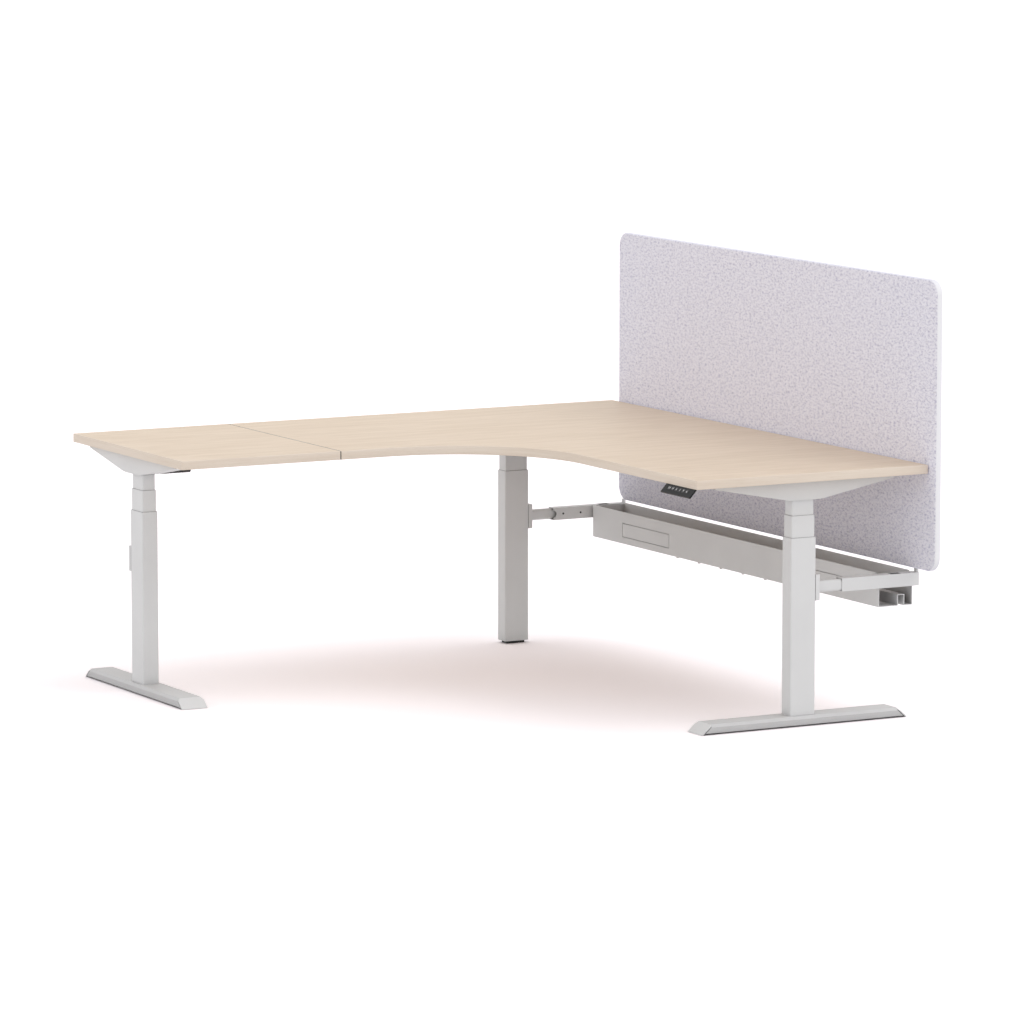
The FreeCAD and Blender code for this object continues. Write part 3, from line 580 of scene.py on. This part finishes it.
# Domed fasteners, most with a hexagon socket, in place of the plain discs
def islands(node):
    """The lowest and highest corners of each separate solid in a node."""
    shape = bmesh.new()
    shape.from_mesh(nodes[node].data)
    bmesh.ops.remove_doubles(shape, verts=shape.verts, dist=WELD_REACH)
    seen = set()
    boxes = []
    for start in shape.verts:
        if start in seen:
            continue
        stack = [start]
        seen.add(start)
        group = []
        while stack:
            vert = stack.pop()
            group.append(vert.co.copy())
            for edge in vert.link_edges:
                other = edge.other_vert(vert)
                if other not in seen:
                    seen.add(other)
                    stack.append(other)
        boxes.append((Vector(min(spot[axis] for spot in group) for axis in range(3)),
                      Vector(max(spot[axis] for spot in group) for axis in range(3))))
    shape.free()
    return boxes


def fastener_rings(radius, height, socket):
    """Rings of a domed head, from its seat up over the dome and down into a hexagon socket."""
    angles = [2 * math.pi * step / HEAD_SIDES for step in range(HEAD_SIDES)]
    rings = []
    for share, rise in HEAD_DOME:
        rings.append([(share * radius * math.cos(angle), share * radius * math.sin(angle), rise * height)
                      for angle in angles])
    if socket:
        hexagon = []
        for angle in angles:
            reach = socket * math.cos(math.pi / 6) / math.cos((angle % (math.pi / 3)) - math.pi / 6)
            hexagon.append((reach * math.cos(angle), reach * math.sin(angle)))
        rings.append([(a, b, height) for a, b in hexagon])
        rings.append([(a, b, SOCKET_FLOOR * height) for a, b in hexagon])
    return rings


def fasteners(name, node, body, outward, socket_share, material):
    """One piece that holds every head of a node; outward gives each head's direction from its place."""
    shape = bmesh.new()
    for low, high in islands(node):
        size = high - low
        seat = (low + high) / 2
        direction = Vector(outward(seat))
        axis = max(range(3), key=lambda index: abs(direction[index]))
        turn = Vector((0, 0, 1)).rotation_difference(direction).to_matrix().to_4x4()
        radius = max(size[other] for other in range(3) if other != axis) / 2
        seat[axis] = low[axis] if direction[axis] > 0 else high[axis]
        spot = Matrix.Translation(seat) @ turn
        rings = fastener_rings(radius, size[axis], radius * socket_share)
        loft(shape, [[spot @ Vector(point) for point in ring] for ring in rings])
    piece = add_piece(name, shape, material, body)
    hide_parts(node)


def downward(seat):
    """Heads under the worktop and under the tray face the floor, wherever they sit."""
    return (0, 0, -1)


def off_plate(seat):
    """The left leg's plate faces +Y and the arm plates face +X."""
    return (0, 1, 0) if seat.x < LEFT_LEG_END else (1, 0, 0)


def off_sleeve(seat):
    """Both sleeves have their set screws on the side towards the tray."""
    return (0, -1, 0) if seat.y > 0 else (0, 1, 0)


fasteners("seam_screw_heads", "seam_screws", "top", downward, SCREW_SOCKET, zinc)
fasteners("bracket_screw_heads", "bracket_screws", "top", downward, SCREW_SOCKET, zinc)
fasteners("arm_screw_heads", "arm_screws", "base", off_plate, SCREW_SOCKET, zinc)
fasteners("grub_screws", "set_screws", "carrier", off_sleeve, GRUB_SOCKET, black_oxide)
fasteners("tray_rivet_heads", "tray_rivets", "carrier", downward, NO_SOCKET, zinc)


# Motor and control housings: rounded cases with cooling grooves round them
def ribbed_case(name, node, axis, radius, grooves):
    """A rounded case along an axis, eased at its ends, with shallow grooves round it."""
    low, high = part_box(node)
    middle = (low + high) / 2
    sides = [other for other in range(3) if other != axis]
    halves = [(high[other] - low[other]) / 2 for other in sides]
    length = high[axis] - low[axis]
    stations = [(0.0, CASE_EASE), (CASE_EASE_MIDDLE, CASE_EASE_MIDDLE), (CASE_EASE, 0.0)]
    for number in range(grooves):
        start = length * (GROOVES_START + GROOVES_SHARE * number / (grooves - 1))
        stations += [(start - GROOVE_HALF, 0.0), (start - GROOVE_FLOOR_HALF, GROOVE_DEPTH),
                     (start + GROOVE_FLOOR_HALF, GROOVE_DEPTH), (start + GROOVE_HALF, 0.0)]
    stations += [(length - CASE_EASE, 0.0), (length - CASE_EASE_MIDDLE, CASE_EASE_MIDDLE),
                 (length, CASE_EASE)]
    shape = bmesh.new()
    rings = []
    for along, inset in stations:
        outline = rounded_rectangle(halves[0] - inset, halves[1] - inset, radius - inset, CASE_CORNER_STEPS)
        ring = []
        for spot in outline:
            point = [0.0, 0.0, 0.0]
            point[axis] = low[axis] + along
            point[sides[0]] = middle[sides[0]] + spot.x
            point[sides[1]] = middle[sides[1]] + spot.y
            ring.append(point)
        rings.append(ring)
    loft(shape, rings)
    piece = add_piece(name, shape, dark_case, "top")
    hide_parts(node)


ribbed_case("left_motor_case", "left_motor", X_AXIS, MOTOR_ROUND, MOTOR_GROOVES)
ribbed_case("right_motor_case", "right_motor", Y_AXIS, MOTOR_ROUND, MOTOR_GROOVES)
ribbed_case("corner_motor_case", "corner_motor", X_AXIS, MOTOR_ROUND, MOTOR_GROOVES)
ribbed_case("control_box_case", "control_box", Y_AXIS, CONTROL_ROUND, CONTROL_GROOVES)


# Marks on the handset's buttons: arrows for up and down, and one to four strokes for stored heights
def flat_marks(number):
    """Outlines of one button's mark, across and along the face, in metres."""
    if number in (UP_BUTTON, DOWN_BUTTON):
        tip = ARROW_HALF_HEIGHT if number == UP_BUTTON else -ARROW_HALF_HEIGHT
        return [[(-ARROW_HALF_WIDTH, -tip), (ARROW_HALF_WIDTH, -tip), (0.0, tip)]]
    strokes = number - DOWN_BUTTON
    marks = []
    for stroke in range(strokes):
        middle = (stroke - (strokes - 1) / 2) * STROKE_PITCH
        left = middle - STROKE_HALF_WIDTH
        right = middle + STROKE_HALF_WIDTH
        marks.append([(left, -STROKE_HALF_HEIGHT), (right, -STROKE_HALF_HEIGHT),
                      (right, STROKE_HALF_HEIGHT), (left, STROKE_HALF_HEIGHT)])
    return marks


face_up = Vector((math.cos(FACE_TILT), 0, math.sin(FACE_TILT)))
face_out = Vector((-math.sin(FACE_TILT), 0, math.cos(FACE_TILT)))
for number in range(1, BUTTON_COUNT + 1):
    low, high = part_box("handset_button_%d" % number)
    centre = (low + high) / 2 + face_out * BUTTON_HALF_DEEP
    shape = bmesh.new()
    for mark in flat_marks(number):
        rings = []
        for lift in (0.0, MARK_THICK):
            rings.append([centre + Vector((0, -across, 0)) + face_up * along + face_out * lift
                          for across, along in mark])
        loft(shape, rings)
    add_piece("button_mark_%d" % number, shape, icon_paint, "button_%d" % number)


# Floor, sky and sun
def viewed_ray(tree):
    """1 for rays that show the background: to the camera, in a gloss or through something clear."""
    paths = tree.nodes.new("ShaderNodeLightPath")
    shown = paths.outputs["Is Camera Ray"]
    for other in ("Is Glossy Ray", "Is Transmission Ray"):
        larger = tree.nodes.new("ShaderNodeMath")
        larger.operation = "MAXIMUM"
        tree.links.new(shown, larger.inputs[0])
        tree.links.new(paths.outputs[other], larger.inputs[1])
        shown = larger.outputs[0]
    return shown


def coloured(tree, kind, colour):
    """A shader node of one colour."""
    node = tree.nodes.new(kind)
    node.inputs["Color"].default_value = colour + (1.0,)
    return node


def choose_by_ray(tree, lighting, shown):
    """One shader where rays light the object, and another where they show the background."""
    chooser = tree.nodes.new("ShaderNodeMixShader")
    tree.links.new(viewed_ray(tree), chooser.inputs["Fac"])
    tree.links.new(lighting.outputs[0], chooser.inputs[1])
    tree.links.new(shown.outputs[0], chooser.inputs[2])
    return chooser.outputs[0]


floor_mesh = bpy.data.meshes.new("floor")
floor_corners = [(-FLOOR_REACH, -FLOOR_REACH, 0), (FLOOR_REACH, -FLOOR_REACH, 0),
                 (FLOOR_REACH, FLOOR_REACH, 0), (-FLOOR_REACH, FLOOR_REACH, 0)]
floor_mesh.from_pydata(floor_corners, [], [(0, 1, 2, 3)])
floor = new_object("floor", floor_mesh)
floor_look = bpy.data.materials.new("floor_white")
floor_look.use_nodes = True
floor_tree = floor_look.node_tree
floor_tree.nodes.clear()
bounce = coloured(floor_tree, "ShaderNodeBsdfDiffuse", FLOOR_BOUNCE)
seen_floor = coloured(floor_tree, "ShaderNodeBsdfDiffuse", FLOOR_SEEN)
floor_out = floor_tree.nodes.new("ShaderNodeOutputMaterial")
floor_tree.links.new(choose_by_ray(floor_tree, bounce, seen_floor), floor_out.inputs["Surface"])
floor_mesh.materials.append(floor_look)

world = bpy.data.worlds.new("studio")
bpy.context.scene.world = world
world.use_nodes = True
sky = world.node_tree
sky.nodes.clear()
lighting = coloured(sky, "ShaderNodeBackground", WHITE)
lighting.inputs["Strength"].default_value = SKY_LEVEL
backdrop = coloured(sky, "ShaderNodeBackground", WHITE)
backdrop.inputs["Strength"].default_value = BACKDROP_LEVEL
sky_out = sky.nodes.new("ShaderNodeOutputWorld")
sky.links.new(choose_by_ray(sky, lighting, backdrop), sky_out.inputs["Surface"])

sun_data = bpy.data.lights.new("soft_sun", "SUN")
sun_data.energy = SUN_LEVEL
sun_data.angle = math.radians(SUN_SPREAD)
sun = new_object("soft_sun", sun_data)
sun.rotation_euler = (-Vector(SUN_FROM)).to_track_quat("-Z", "Y").to_euler()

# Camera
camera_data = bpy.data.cameras.new("camera")
camera_data.lens = CAMERA_LENS
camera_data.sensor_width = SENSOR
camera_data.clip_end = CAMERA_FAR
camera = new_object("camera", camera_data)
camera.location = CAMERA_PLACE
camera.rotation_euler = (math.radians(90 - CAMERA_PITCH), 0, math.radians(-CAMERA_TURN))
bpy.context.scene.camera = camera
bpy.context.scene.view_settings.view_transform = "Standard"
